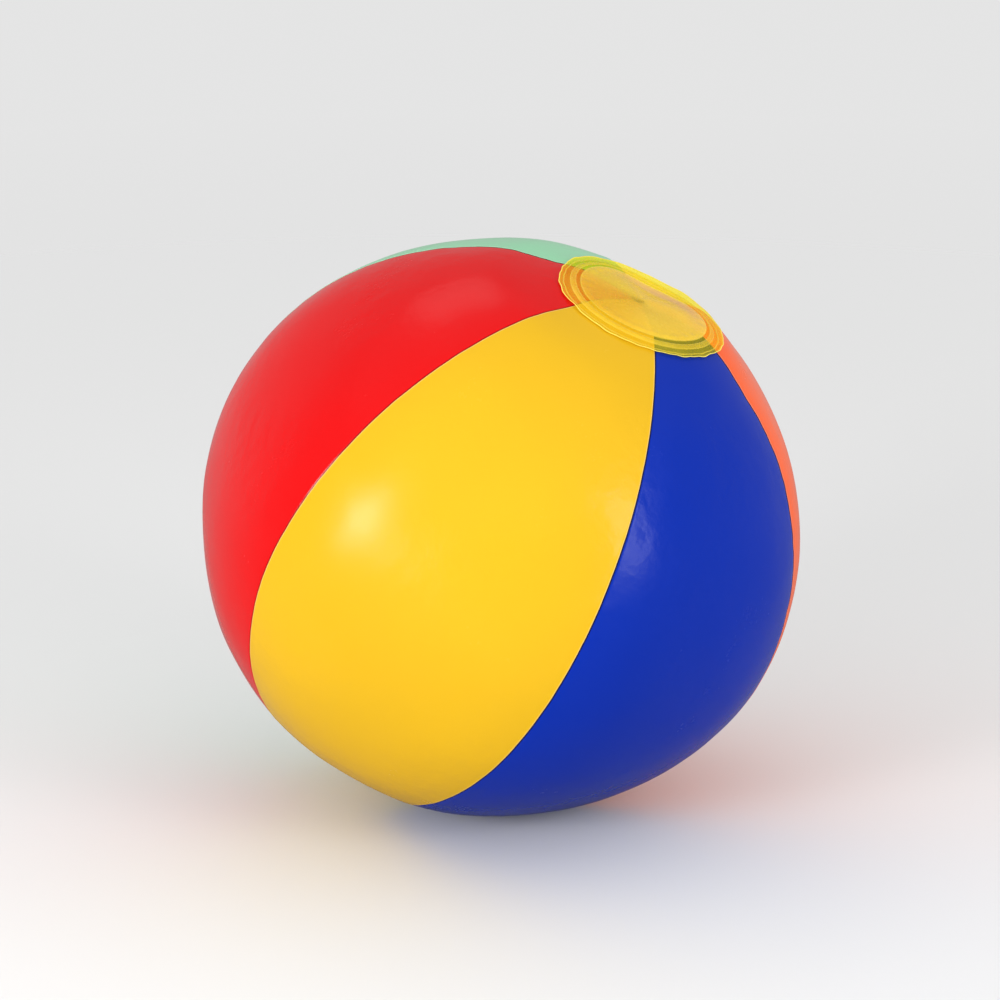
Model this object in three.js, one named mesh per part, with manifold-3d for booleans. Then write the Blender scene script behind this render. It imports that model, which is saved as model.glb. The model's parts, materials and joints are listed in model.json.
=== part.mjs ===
// Inflatable beach ball: six welded vinyl gores, a clear film disc over each end, and a push-in air valve.
// Millimetres, +Z up. The origin is the middle of the ball, and the valve's axis is +Y.
import * as THREE from "three";
import { mergeVertices } from "three/addons/utils/BufferGeometryUtils.js";
import Module from "manifold-3d";

const wasm = await Module();
wasm.setup();

// The inflated ball.
const RADIUS = 150;
const POLE_SHARE = 0.994; // half height between the end discs, over RADIUS
const LOBE = 0.0175; // share of RADIUS by which seams stand out and gore middles pull in
const SAG = 0.032; // flattening along Z, under the ball's own weight on a surface
const POLE_LEAN = THREE.MathUtils.degToRad(29.2); // lean of the axis through the end discs, towards +X

// The film and its welds.
const FILM = 0.3;
const GAP = 0.3; // clearance left between pieces that touch
const LAP = 4; // width of a seam's overlap
const JOGGLE = 2.5; // width over which an edge steps down under its neighbour
const GORE_TIP_RADIUS = 12; // the gores stop this far from the pole
const GORE_ROWS = 24;
const GORE_COLUMNS = 6; // strips between a gore's two edge strips

// Profile of an end disc, from its flat middle to its rim: radius, and height over the gores' surface.
const DISC_FLAT_RADIUS = 8;
const DISC_SPOKES = 48;
const DISC_PROFILE = [
  [14, 0.6],
  [20, 0.9],
  [31, 0.9],
  [34, 0.3], // inner weld band
  [36.6, 0.3],
  [37.2, 0.7], // loose channel between the welds
  [38.4, 0.7],
  [39, 0.3], // outer weld band
  [42.1, 0.3],
  [44.4, 0.9], // free rim
];
const DISC_FLAT_LIFT = 0.6;

// The valve, measured along its axis from the skin's surface; positive is out of the ball.
const FLANGE_RADIUS = 20;
const FLANGE_HOLE = 9;
const FLANGE_THICKNESS = 0.6;
const FLANGE_RINGS = 3;
const FLANGE_SPOKES = 40;
const SKIN_HOLE = 10;
const STEM_RADIUS = 5.5;
const BORE_RADIUS = 4;
const STEM_INNER_END = -18;
const COLLAR_RADIUS = 7;
const COLLAR_BASE = 1.2;
const COLLAR_TOP = 2;
const WEB_LOW = -6; // where the folding web meets the stem
const WEB_HIGH = 0.6; // where it meets the flange
const WEB_THICKNESS = 0.5;
const PLUG_HEAD_RADIUS = 6.5;
const PLUG_HEAD_TOP = 3.5;
const PLUG_LENGTH = 6; // of the tapered shank
const STRAP_REACH = 13; // from the valve's axis to the bend in the strap
const STRAP_WIDTH = 5;
const STRAP_THICKNESS = 0.8;
const FLAP_RADIUS = 4.8;
const FLAP_THICKNESS = 0.5;
const FLAP_HINGE = 5.5; // from the valve's axis
const FLAP_TAB_WIDTH = 4;
const LATHE_SEGMENTS = 32;

const GORE_ANGLE = Math.PI / 3;

// Gores in order of longitude. A gore on top runs to its seams; one underneath runs on below its neighbours.
const GORES = [
  { name: "panel_orange", colour: 0xfd7a4f, onTop: true },
  { name: "panel_white", colour: 0xf4f4f0, onTop: false },
  { name: "panel_green", colour: 0x9ddcae, onTop: true },
  { name: "panel_red", colour: 0xf51f1f, onTop: false },
  { name: "panel_yellow", colour: 0xf6cb24, onTop: true },
  { name: "panel_blue", colour: 0x0f3cb1, onTop: false },
];

function vinyl(colour) {
  return new THREE.MeshStandardMaterial({ color: colour, roughness: 0.35, metalness: 0 });
}

function clearYellowFilm() {
  return new THREE.MeshStandardMaterial({
    color: 0xf2c62a,
    roughness: 0.3,
    metalness: 0,
    transparent: true,
    opacity: 0.7,
  });
}

function softWhitePlastic() {
  return new THREE.MeshStandardMaterial({ color: 0xe9ecee, roughness: 0.4, metalness: 0 });
}

// Distance of the skin from the pole axis.
function girth(colatitude, longitude) {
  const s = Math.sin(colatitude);
  return RADIUS * s * (1 + LOBE * Math.cos(6 * longitude) * s * s);
}

// A point on the skin, raised by lift, before the ball leans and sags.
function skinPoint(colatitude, longitude, lift) {
  const across = girth(colatitude, longitude);
  const point = new THREE.Vector3(
    across * Math.cos(longitude),
    across * Math.sin(longitude),
    POLE_SHARE * RADIUS * Math.cos(colatitude),
  );
  return point.setLength(point.length() + lift);
}

// Height along +Y of the leaning, sagging skin over a point of the X-Z plane near the valve.
function skinHeight(x, z) {
  const raised = z / (1 - SAG);
  const across = x * Math.cos(POLE_LEAN) - raised * Math.sin(POLE_LEAN);
  const along = x * Math.sin(POLE_LEAN) + raised * Math.cos(POLE_LEAN);
  const colatitude = Math.acos(along / (POLE_SHARE * RADIUS));
  let longitude = Math.PI / 2;
  for (let step = 0; step < 6; step++) {
    longitude = Math.acos(across / girth(colatitude, longitude));
  }
  return girth(colatitude, longitude) * Math.sin(longitude);
}

function geometryOf(points, triangles) {
  const geometry = new THREE.BufferGeometry();
  geometry.setAttribute("position", new THREE.Float32BufferAttribute(points, 3));
  geometry.setIndex(triangles);
  geometry.computeVertexNormals();
  return geometry;
}

// A closed sheet from an outer and an inner grid of points. Rows may close on themselves.
function sheetGeometry(outer, inner, closedRows) {
  const rows = outer.length;
  const columns = outer[0].length;
  const points = [...outer, ...inner].flat().flatMap((point) => point.toArray());
  const triangles = [];
  const at = (side, row, column) => (side * rows + row) * columns + (column % columns);
  const quad = (a, b, c, d) => triangles.push(a, b, c, a, c, d);
  const spans = closedRows ? columns : columns - 1;
  for (let row = 0; row < rows - 1; row++) {
    for (let column = 0; column < spans; column++) {
      quad(at(0, row, column), at(0, row + 1, column), at(0, row + 1, column + 1), at(0, row, column + 1));
      quad(at(1, row, column), at(1, row, column + 1), at(1, row + 1, column + 1), at(1, row + 1, column));
    }
  }
  for (let column = 0; column < spans; column++) {
    const last = rows - 1;
    quad(at(0, 0, column), at(0, 0, column + 1), at(1, 0, column + 1), at(1, 0, column));
    quad(at(0, last, column), at(1, last, column), at(1, last, column + 1), at(0, last, column + 1));
  }
  if (!closedRows) {
    const edge = columns - 1;
    for (let row = 0; row < rows - 1; row++) {
      quad(at(0, row, 0), at(1, row, 0), at(1, row + 1, 0), at(0, row + 1, 0));
      quad(at(0, row, edge), at(0, row + 1, edge), at(1, row + 1, edge), at(1, row, edge));
    }
  }
  return geometryOf(points, triangles);
}

// The longitudes and lifts across one row of a gore.
function goreRow(first, colatitude, onTop) {
  const angle = (width) => width / (RADIUS * Math.sin(colatitude));
  const last = first + GORE_ANGLE;
  const row = [];
  const start = onTop ? angle(LAP) : angle(GAP + JOGGLE);
  if (onTop) {
    row.push([first, 0]);
  } else {
    row.push([first - angle(LAP), -FILM - GAP]);
    row.push([first + angle(GAP), -FILM - GAP]);
  }
  for (let column = 0; column <= GORE_COLUMNS; column++) {
    row.push([THREE.MathUtils.lerp(first + start, last - start, column / GORE_COLUMNS), 0]);
  }
  if (onTop) {
    row.push([last, 0]);
  } else {
    row.push([last - angle(GAP), -FILM - GAP]);
    row.push([last + angle(LAP), -FILM - GAP]);
  }
  return row;
}

function goreGeometry(first, onTop) {
  const tip = Math.asin(GORE_TIP_RADIUS / RADIUS);
  const outer = [];
  const inner = [];
  for (let row = 0; row <= GORE_ROWS; row++) {
    const colatitude = THREE.MathUtils.lerp(tip, Math.PI - tip, row / GORE_ROWS);
    const across = goreRow(first, colatitude, onTop);
    outer.push(across.map(([longitude, lift]) => skinPoint(colatitude, longitude, lift)));
    inner.push(across.map(([longitude, lift]) => skinPoint(colatitude, longitude, lift - FILM)));
  }
  return sheetGeometry(outer, inner, false);
}

// One face of an end disc, as rings of points from the middle to the rim.
function discRings(drop) {
  const level = POLE_SHARE * RADIUS * Math.cos(DISC_FLAT_RADIUS / RADIUS) + DISC_FLAT_LIFT - drop;
  const ring = (point) =>
    Array.from({ length: DISC_SPOKES }, (_, spoke) => point((2 * Math.PI * spoke) / DISC_SPOKES));
  const rings = [
    ring((angle) => new THREE.Vector3(
      DISC_FLAT_RADIUS * Math.cos(angle),
      DISC_FLAT_RADIUS * Math.sin(angle),
      level,
    )),
  ];
  for (const [radius, lift] of DISC_PROFILE) {
    rings.push(ring((angle) => skinPoint(Math.asin(radius / RADIUS), angle, lift + FILM - drop)));
  }
  return { rings, level };
}

// An end disc: two ringed faces, each closed at the pole by a fan, joined round the rim.
function discGeometry() {
  const faces = [discRings(0), discRings(FILM)];
  const rows = faces[0].rings.length;
  const points = faces.flatMap(({ rings }) => rings.flat()).flatMap((point) => point.toArray());
  const poles = faces.map(({ level }) => {
    points.push(0, 0, level);
    return points.length / 3 - 1;
  });
  const triangles = [];
  const at = (side, row, spoke) => (side * rows + row) * DISC_SPOKES + (spoke % DISC_SPOKES);
  const quad = (a, b, c, d) => triangles.push(a, b, c, a, c, d);
  for (let spoke = 0; spoke < DISC_SPOKES; spoke++) {
    triangles.push(poles[0], at(0, 0, spoke), at(0, 0, spoke + 1));
    triangles.push(poles[1], at(1, 0, spoke + 1), at(1, 0, spoke));
    for (let row = 0; row < rows - 1; row++) {
      quad(at(0, row, spoke), at(0, row + 1, spoke), at(0, row + 1, spoke + 1), at(0, row, spoke + 1));
      quad(at(1, row, spoke), at(1, row, spoke + 1), at(1, row + 1, spoke + 1), at(1, row + 1, spoke));
    }
    const rim = rows - 1;
    quad(at(0, rim, spoke), at(1, rim, spoke), at(1, rim, spoke + 1), at(0, rim, spoke + 1));
  }
  return geometryOf(points, triangles);
}

// The valve's flange: a flat ring of moulding laid over the curve of the skin.
function flangeGeometry(base) {
  const face = (lift) => {
    const rings = [];
    for (let ring = 0; ring <= FLANGE_RINGS; ring++) {
      const radius = THREE.MathUtils.lerp(FLANGE_HOLE, FLANGE_RADIUS, ring / FLANGE_RINGS);
      rings.push(
        Array.from({ length: FLANGE_SPOKES }, (_, spoke) => {
          const angle = (2 * Math.PI * spoke) / FLANGE_SPOKES;
          const x = radius * Math.sin(angle);
          const z = radius * Math.cos(angle);
          return new THREE.Vector3(x, skinHeight(x, z) - base + lift, z);
        }),
      );
    }
    return rings;
  };
  return sheetGeometry(face(GAP + FLANGE_THICKNESS), face(GAP), true);
}

function latheGeometry(profile) {
  const points = profile.map(([radius, height]) => new THREE.Vector2(radius, height));
  return new THREE.LatheGeometry(points, LATHE_SEGMENTS);
}

// The web: a thin cone from the flange's hole down to the stem, which turns inside out as the stem moves.
function webGeometry() {
  const outside = FLANGE_HOLE - GAP;
  const inside = STEM_RADIUS + GAP;
  return latheGeometry([
    [inside, WEB_LOW],
    [inside + WEB_THICKNESS, WEB_LOW],
    [outside, WEB_HIGH - WEB_THICKNESS],
    [outside, WEB_HIGH],
    [outside - WEB_THICKNESS, WEB_HIGH],
    [inside, WEB_LOW + WEB_THICKNESS],
    [inside, WEB_LOW],
  ]);
}

function stemGeometry() {
  return latheGeometry([
    [BORE_RADIUS, STEM_INNER_END],
    [STEM_RADIUS, STEM_INNER_END],
    [STEM_RADIUS, COLLAR_BASE],
    [COLLAR_RADIUS, COLLAR_BASE],
    [COLLAR_RADIUS, COLLAR_TOP],
    [BORE_RADIUS, COLLAR_TOP],
    [BORE_RADIUS, STEM_INNER_END],
  ]);
}

// The plug's shank tapers so that it clears the bore as it swings out about the strap's bend.
function plugGeometry() {
  const underside = COLLAR_TOP + GAP;
  const reach = STRAP_REACH + BORE_RADIUS;
  const clearRadius = (depth) => Math.sqrt(reach * reach - depth * depth) - STRAP_REACH - GAP;
  const shank = [];
  for (let depth = PLUG_LENGTH; depth >= 0; depth -= PLUG_LENGTH / 4) {
    shank.push([clearRadius(depth), underside - depth]);
  }
  return latheGeometry([
    [0, underside - PLUG_LENGTH],
    ...shank,
    [PLUG_HEAD_RADIUS, underside],
    [PLUG_HEAD_RADIUS, PLUG_HEAD_TOP - 0.4],
    [PLUG_HEAD_RADIUS - 0.4, PLUG_HEAD_TOP],
    [0, PLUG_HEAD_TOP],
  ]);
}

// The strap: out from the stem's collar, round a tight bend and back to the plug's head.
function strapGeometry() {
  const low = COLLAR_BASE;
  const high = PLUG_HEAD_TOP - GAP;
  const middle = (low + high) / 2;
  const bend = (high - low) / 2;
  const outline = new THREE.Shape();
  outline.moveTo(-COLLAR_RADIUS - GAP, low);
  outline.lineTo(-COLLAR_RADIUS - GAP, low + STRAP_THICKNESS);
  outline.lineTo(-STRAP_REACH, low + STRAP_THICKNESS);
  outline.absarc(-STRAP_REACH, middle, bend - STRAP_THICKNESS, -Math.PI / 2, Math.PI / 2, true);
  outline.lineTo(-PLUG_HEAD_RADIUS - GAP, high - STRAP_THICKNESS);
  outline.lineTo(-PLUG_HEAD_RADIUS - GAP, high);
  outline.lineTo(-STRAP_REACH, high);
  outline.absarc(-STRAP_REACH, middle, bend, Math.PI / 2, (3 * Math.PI) / 2, false);
  outline.closePath();
  const geometry = new THREE.ExtrudeGeometry(outline, {
    depth: STRAP_WIDTH,
    bevelEnabled: false,
    curveSegments: 8,
  });
  return geometry.translate(0, 0, -STRAP_WIDTH / 2);
}

// The non-return flap: a round leaf with a tab to one side, lying across the stem's inner end.
function flapGeometry() {
  const tabEnd = FLAP_HINGE + 0.2;
  const half = FLAP_TAB_WIDTH / 2;
  const meets = Math.asin(half / FLAP_RADIUS);
  const outline = new THREE.Shape();
  outline.moveTo(tabEnd, half);
  outline.lineTo(Math.cos(meets) * FLAP_RADIUS, half);
  outline.absarc(0, 0, FLAP_RADIUS, meets, 2 * Math.PI - meets, false);
  outline.lineTo(tabEnd, -half);
  outline.closePath();
  const geometry = new THREE.ExtrudeGeometry(outline, {
    depth: FLAP_THICKNESS,
    bevelEnabled: false,
    curveSegments: 20,
  });
  return geometry.rotateX(Math.PI / 2).translate(0, STEM_INNER_END - GAP, 0);
}

function solidOf(geometry) {
  const bare = geometry.clone().deleteAttribute("normal").deleteAttribute("uv");
  const merged = mergeVertices(bare, 1e-4);
  return new wasm.Manifold(
    new wasm.Mesh({
      numProp: 3,
      vertProperties: new Float32Array(merged.attributes.position.array),
      triVerts: new Uint32Array(merged.index.array),
    }),
  );
}

// The geometry with a round hole for the valve cut through it along +Y.
function withValveHole(geometry) {
  const punch = new THREE.CylinderGeometry(SKIN_HOLE, SKIN_HOLE, RADIUS / 3, FLANGE_SPOKES);
  punch.translate(0, RADIUS, 0);
  const cut = solidOf(geometry).subtract(solidOf(punch)).getMesh();
  return geometryOf(Array.from(cut.vertProperties), Array.from(cut.triVerts));
}

function named(name, geometry, material) {
  const mesh = new THREE.Mesh(geometry, material);
  mesh.name = name;
  return mesh;
}

function makeGores() {
  const gores = new THREE.Group();
  GORES.forEach(({ name, colour, onTop }, index) => {
    const plain = goreGeometry(index * GORE_ANGLE, onTop);
    const geometry = name === "panel_white" ? withValveHole(plain) : plain;
    gores.add(named(name, geometry, vinyl(colour)));
  });
  return gores;
}

function makeEndDiscs() {
  const discs = new THREE.Group();
  const upper = named("end_disc_upper", discGeometry(), clearYellowFilm());
  const lower = named("end_disc_lower", discGeometry(), clearYellowFilm());
  lower.rotation.x = Math.PI;
  discs.add(upper, lower);
  return discs;
}

function makeValve() {
  const base = skinHeight(0, 0);
  const valve = new THREE.Group();
  valve.position.y = base;
  valve.add(
    named("valve_flange", flangeGeometry(base), softWhitePlastic()),
    named("valve_web", webGeometry(), softWhitePlastic()),
    named("valve_stem", stemGeometry(), softWhitePlastic()),
    named("valve_plug", plugGeometry(), softWhitePlastic()),
    named("plug_strap", strapGeometry(), softWhitePlastic()),
    named("valve_flap", flapGeometry(), softWhitePlastic()),
  );
  return valve;
}

const envelope = new THREE.Group();
envelope.rotation.y = POLE_LEAN;
envelope.add(makeGores(), makeEndDiscs());

const sagged = new THREE.Group();
sagged.scale.z = 1 - SAG;
sagged.add(envelope);

const ball = new THREE.Group();
ball.name = "beach_ball";
ball.add(sagged, makeValve());

export default ball;
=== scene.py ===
"""Looks for the inflatable beach ball: vinyl gores with lap seams, ringed clear end discs and the valve."""
import json
import math

import bmesh
import bpy
import numpy as np
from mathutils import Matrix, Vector


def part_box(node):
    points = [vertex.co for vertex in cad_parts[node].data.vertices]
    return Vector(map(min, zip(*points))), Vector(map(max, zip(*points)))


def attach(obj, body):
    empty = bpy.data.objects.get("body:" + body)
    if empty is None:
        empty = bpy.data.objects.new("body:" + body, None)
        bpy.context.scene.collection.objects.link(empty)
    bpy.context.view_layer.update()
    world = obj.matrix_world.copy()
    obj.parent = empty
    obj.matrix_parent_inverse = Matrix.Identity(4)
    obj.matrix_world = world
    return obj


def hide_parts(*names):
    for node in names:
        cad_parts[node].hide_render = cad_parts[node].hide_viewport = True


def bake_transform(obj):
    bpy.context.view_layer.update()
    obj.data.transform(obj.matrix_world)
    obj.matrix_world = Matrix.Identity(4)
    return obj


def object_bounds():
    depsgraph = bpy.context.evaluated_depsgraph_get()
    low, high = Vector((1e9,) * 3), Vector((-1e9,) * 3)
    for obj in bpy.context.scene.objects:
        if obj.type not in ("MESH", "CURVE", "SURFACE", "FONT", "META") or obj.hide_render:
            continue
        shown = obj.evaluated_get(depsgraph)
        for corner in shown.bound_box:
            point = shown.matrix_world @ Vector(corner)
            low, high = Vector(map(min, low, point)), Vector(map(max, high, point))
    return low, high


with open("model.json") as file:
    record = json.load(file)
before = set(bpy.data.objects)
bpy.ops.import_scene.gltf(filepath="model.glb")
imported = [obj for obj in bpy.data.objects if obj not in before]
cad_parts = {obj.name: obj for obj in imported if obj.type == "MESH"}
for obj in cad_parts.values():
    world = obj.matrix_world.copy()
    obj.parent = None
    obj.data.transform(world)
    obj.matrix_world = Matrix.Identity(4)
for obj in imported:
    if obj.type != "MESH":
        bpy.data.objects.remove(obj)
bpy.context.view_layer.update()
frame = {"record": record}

MM = 0.001

# The ball's shape, as the CAD part has it: how far seams stand out and gore middles pull in, the flattening
# along Z, and the half height between the end discs, each as a share of the radius.
LOBE = 0.0175
SAG = 0.032
POLE_SHARE = 0.994
MOUNTS = {mount["name"]: mount for mount in frame["record"]["mounts"]}
UPPER_POLE = MOUNTS["upper_disc_face"]["pos_m"]
POLE_LEAN = math.atan2(UPPER_POLE[0], UPPER_POLE[2] / (1 - SAG))
RADIUS = -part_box("panel_yellow")[0][1] / (1 - LOBE)
VALVE_BASE = RADIUS * (1 - LOBE)
GORE_COUNT = 6
GORE_ANGLE = 2 * math.pi / GORE_COUNT

# Slow swells of the inflated film: height, wavelength and seed.
SWELLS = ((0.25 * MM, 60 * MM, 3), (0.05 * MM, 26 * MM, 5))

# Film and seams.
FILM = 0.25 * MM
SEAM_GAP = 0.06 * MM
LAP = 3.6 * MM
JOGGLE = 1.5 * MM
GORE_TIP = math.asin(4.5 * MM / RADIUS)
GORE_ROWS = 200
GORE_COLUMNS = 22
EDGE_STRIP_SHARE = 0.42
SEAM_BEAD = 0.1 * MM
SEAM_BEAD_INSET = 0.3 * MM
SEAM_BEAD_WIDTH = 0.35 * MM
SEAM_GROOVE = 0.12 * MM
SEAM_GROOVE_WIDTH = 0.3 * MM
HIDDEN_EDGE_RIDGE = 0.02 * MM
HIDDEN_EDGE_WIDTH = 0.8 * MM
PUCKER_HEIGHT = 0.05 * MM
PUCKER_REACH = 7 * MM
PUCKER_WAVELENGTHS_MM = (9, 13, 19, 31)
PUCKER_SEED = 40
# Pale cut edge on a gore on top: the vinyl's own pale edge with a painted glint.
PALE_CUT_EDGE_AND_GLINT_SPAN = (0.25 * MM, 0.55 * MM)
# Painted shadow: a dark line on a gore underneath, along the lap, where shade falls.
PAINTED_LAP_SHADOW_SPAN = (0.55 * MM, 1.05 * MM)

# Columns beside a seam, in mm inwards from its visible edge, for a gore on top and for one underneath.
TOP_EDGE = [0, 0.12, 0.28, 0.45, 0.65, 0.9, 1.3, 2.0, 2.8, 3.4, 3.8, 4.4, 5.4]
UNDER_EDGE = [-3.4, -1.6, 0, 0.15, 0.35, 0.6, 0.9, 1.2, 1.6, 2.2, 3.0, 4.0, 5.4]

# The upper pole sits a little askew, as a stiff disc does between soft gores. The profile gives radius and
# height in mm, and the shifts average it to round its corners.
POLE_SLOPE = (0.066, 0.024)
POLE_PROFILE = ((0, -3.2), (12, -2.6), (22, -1.2), (30, 0.1), (35, 0.6), (40, 0.4), (46, -0.1), (80, -0.3))
POLE_SHIFTS = (-3, -1.5, 0, 1.5, 3)
DENT_INNER = 36 * MM
DENT_OUTER = 74 * MM
POLE_DIP = 5.0 * MM
POLE_DIP_RADIUS = 28 * MM
POLE_DIP_WIDTH = 17 * MM
POLE_DIP_TURN = math.radians(88)
POLE_DIP_SPREAD = math.radians(40)

# End discs, in radius from the middle.
DISC_RADIUS = 44.4 * MM
OUTER_WELD = (39.0 * MM, 42.1 * MM)
INNER_WELD = (34.0 * MM, 36.6 * MM)
UPPER_DISC_OFFSET = (3.0 * MM, -1.5 * MM)
UPPER_DISC_OVAL = 0.036
UPPER_DISC_OVAL_TURN = math.radians(67)
DISC_START = 0.4 * MM
DISC_MIDDLE = 28 * MM
DISC_MIDDLE_RINGS = 40
DISC_RINGS = 110
DISC_SPOKES = 320
DISC_CLEARANCE = 0.12 * MM
DISC_CROWN = 0.8 * MM
DISC_LIP = 0.3 * MM
DISC_CHANNEL = 0.45 * MM
DISC_WRINKLE = 0.07 * MM
WELD_BEAD = 0.14 * MM
RIM_LIFT_MM = 0.85
RIM_CURL_MM = 0.45
RIM_WAVE_MM = 0.3
RIM_CURL_TURN = math.radians(60)

# How hazy the film is, from clear to opaque, in each band of a disc.
HAZE_INNER_WELD = 0.13
HAZE_OUTER_WELD = 0.15
HAZE_RIM = 0.17
HAZE_CHANNEL = 0.34
HAZE_MIDDLE = 0.64
HAZE_MIDDLE_CLEARED = 0.28
HAZE_LEAST = 0.13
# Haze where a pale painted highlight lies on the weld-edge ridges and the cut rim.
HAZE_UNDER_RIDGE_HIGHLIGHT = 0.8
CLEARED_TURN = math.radians(232)
CLEARED_SPREAD = math.radians(55)
# Painted reflection: place and size of a beige patch on the membrane for the white surroundings it reflects.
PAINTED_REFLECTION_RADIUS = 29 * MM
PAINTED_REFLECTION_WIDTH = 5 * MM
PAINTED_REFLECTION_TURN = math.radians(75)
PAINTED_REFLECTION_SPREAD = math.radians(48)

# The valve, measured from its axis and from the skin. The profiles and names with MM are in mm.
FLANGE_HOLE = 9 * MM
FLANGE_ROWS = 60
FLANGE_SPOKES = 480
FLANGE_TOP = 0.75 * MM
FLANGE_BEAD = 0.35 * MM
FLANGE_GROOVE = 0.28 * MM
FLANGE_RIB = 0.32 * MM
FLANGE_RIBS = 60
FLANGE_GROOVE_SHARES = (0.3, 0.42, 0.54)
FLANGE_CLEARANCE = 0.1 * MM
VALVE_HOLE = 9.4 * MM
VALVE_HOLE_REACH = 12 * MM
WEB_OUTER_MM = 9.05
WEB_NARROWING_MM = 3.5
WEB_TOP_MM = 0.55
WEB_DEPTH_MM = 6.5
WEB_THICKNESS_MM = 0.5
STEM_PROFILE = [
    (4.0, -18), (5.0, -18), (5.5, -17), (5.5, -7.1), (5.5, -5.2),
    (5.5, 1.2), (7.0, 1.2), (7.0, 2.0), (4.0, 2.0),
]
PLUG_PROFILE = [
    (0.001, -3.7), (2.4, -3.7), (3.05, -2.6), (3.35, -1.0), (3.6, 0.8), (3.7, 2.3),
    (6.5, 2.3), (6.5, 3.5), (5.1, 3.5), (4.85, 2.95), (1.6, 2.9), (1.3, 3.3), (0.001, 3.35),
]
PLUG_RECESS_RADIUS_MM = 4.9
PLUG_RECESS_HEIGHT_MM = 3
STRAP_LOW_MM = 1.6
STRAP_HIGH_MM = 2.8
STRAP_BEND_MM = -13
STRAP_STEM_END_MM = -6.9
STRAP_PLUG_END_MM = -6.3
STRAP_STEPS = 14
STRAP_WAIST = 0.22
STRAP_SECTION_MM = [(-2.5, -0.38), (2.5, -0.38), (2.5, 0.38), (-2.5, 0.38)]
FLAP_RADIUS_MM = 4.75
FLAP_TAB_MM = 5.65
FLAP_NECK_MM = 1.9
FLAP_TOP_MM = -18.3
FLAP_DISH_MM = 0.12
FLAP_THICKNESS = 0.45 * MM
LATHE_SEGMENTS = 96
SKIN_HEIGHT_PASSES = 6

# Gores in order of longitude: node, material slot, linear colour, whether it lies on top at its two seams.
GORES = [
    ("panel_orange", "vinyl_orange", (0.82, 0.1, 0.011), True),
    ("panel_white", "vinyl_white", (0.8, 0.8, 0.78), False),
    ("panel_green", "vinyl_green", (0.26, 0.59, 0.35), True),
    ("panel_red", "vinyl_red", (0.59, 0.0028, 0.0038), False),
    ("panel_yellow", "vinyl_yellow", (0.63, 0.366, 0.01), True),
    ("panel_blue", "vinyl_blue", (0.001, 0.0205, 0.305), False),
]

# Other linear colours.
HAZY_AMBER = (1.0, 0.66, 0.035)
WELDED_LEMON = (1.0, 0.87, 0.05)
# Painted highlight on the film's ridges and cut rim.
PAINTED_RIDGE_HIGHLIGHT_YELLOW = (1.0, 0.84, 0.12)
# Painted reflection of the white surroundings on the membrane.
PAINTED_REFLECTION_BEIGE = (0.86, 0.52, 0.2)
FILM_TINT = (1.0, 0.942, 0.4)
SOFT_WHITE = (0.76, 0.79, 0.81)
# Grey of thin milky plastic, also used as painted shade in the valve's grooves and recesses.
THIN_AND_SHADED_GREY = (0.42, 0.49, 0.54)

# Vinyl: how pale a cut edge is, the vinyl's own pale edge with a painted glint on it, and how dark the
# painted shadow line under a lap is on deep and on light colours.
PALE_EDGE = 0.95
PALE_SHARE = 0.13
DEEP_COLOUR = 0.5
LAP_SHADE_DEEP = 0.1
LAP_SHADE_LIGHT = 0.42
PLASTIC_IOR = 1.5
NOISE_SPREAD = (0.3, 0.7)

# Studio: softboxes are nested (width, height, radiance) lights, in metres.
KEY_LIGHTS = ((0.34, 0.42, 24.0), (0.65, 0.75, 3.8), (1.1, 1.15, 0.4))
FILL_LIGHTS = ((0.5, 0.9, 7.0), (0.9, 1.5, 1.2))
BACK_LIGHTS = ((0.5, 0.35, 1.2),)
WORLD_LEVEL = 0.78
WORLD_LEVEL_REFLECTED = 0.52
FLOOR_HALF = 1.6
FLOOR_GREY = (0.7, 0.7, 0.7)
FLOOR_GREY_REFLECTED = (0.3, 0.3, 0.3)
FLOOR_FADE = (0.35, 1.5)
CAMERA_AZIMUTH = 16.4
CAMERA_ELEVATION = 17.5
CAMERA_DISTANCE = 18.15 * RADIUS
FOCAL_LENGTH_MM = 195.6
SENSOR_MM = 36
AIM_ABOVE = 13.3 * MM


# Shape helpers

def smooth_step(value, low, high):
    t = np.clip((value - low) / (high - low), 0, 1)
    return t * t * (3 - 2 * t)


def bump_at(value, centre, width):
    return np.exp(-(((value - centre) / width) ** 2))


def turn_from(angle, reference):
    """Angle measured from reference, from minus a half turn to a half turn."""
    return np.arctan2(np.sin(angle - reference), np.cos(angle - reference))


def lean_and_sag(points):
    """Points of the upright ball, moved to where they are when it leans and rests."""
    x = points[..., 0] * math.cos(POLE_LEAN) + points[..., 2] * math.sin(POLE_LEAN)
    z = -points[..., 0] * math.sin(POLE_LEAN) + points[..., 2] * math.cos(POLE_LEAN)
    return np.stack([x, points[..., 1], z * (1 - SAG)], -1)


def ripple(points, wavelength, seed, waves=14):
    """Smooth noise from about -1 to 1: a sum of plane waves in random directions."""
    random = np.random.default_rng(seed)
    directions = random.normal(size=(waves, 3))
    directions /= np.linalg.norm(directions, axis=1, keepdims=True)
    pitch = 2 * math.pi / (wavelength * random.uniform(0.7, 1.4, waves))
    phases = random.uniform(0, 2 * math.pi, waves)
    total = np.zeros(points.shape[:-1])
    for direction, number, phase in zip(directions, pitch, phases):
        total += np.sin(points @ direction * number + phase)
    return total / math.sqrt(waves)


def girth_at(colatitude, longitude):
    """Distance of the skin from the axis through the poles, before the ball leans and sags."""
    across = RADIUS * np.sin(colatitude)
    return across * (1 + LOBE * np.cos(GORE_COUNT * longitude) * np.sin(colatitude) ** 2)


def upright_skin(colatitude, longitude):
    across = girth_at(colatitude, longitude)
    return np.stack(
        [
            across * np.cos(longitude),
            across * np.sin(longitude),
            POLE_SHARE * RADIUS * np.cos(colatitude),
        ],
        -1,
    )


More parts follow.
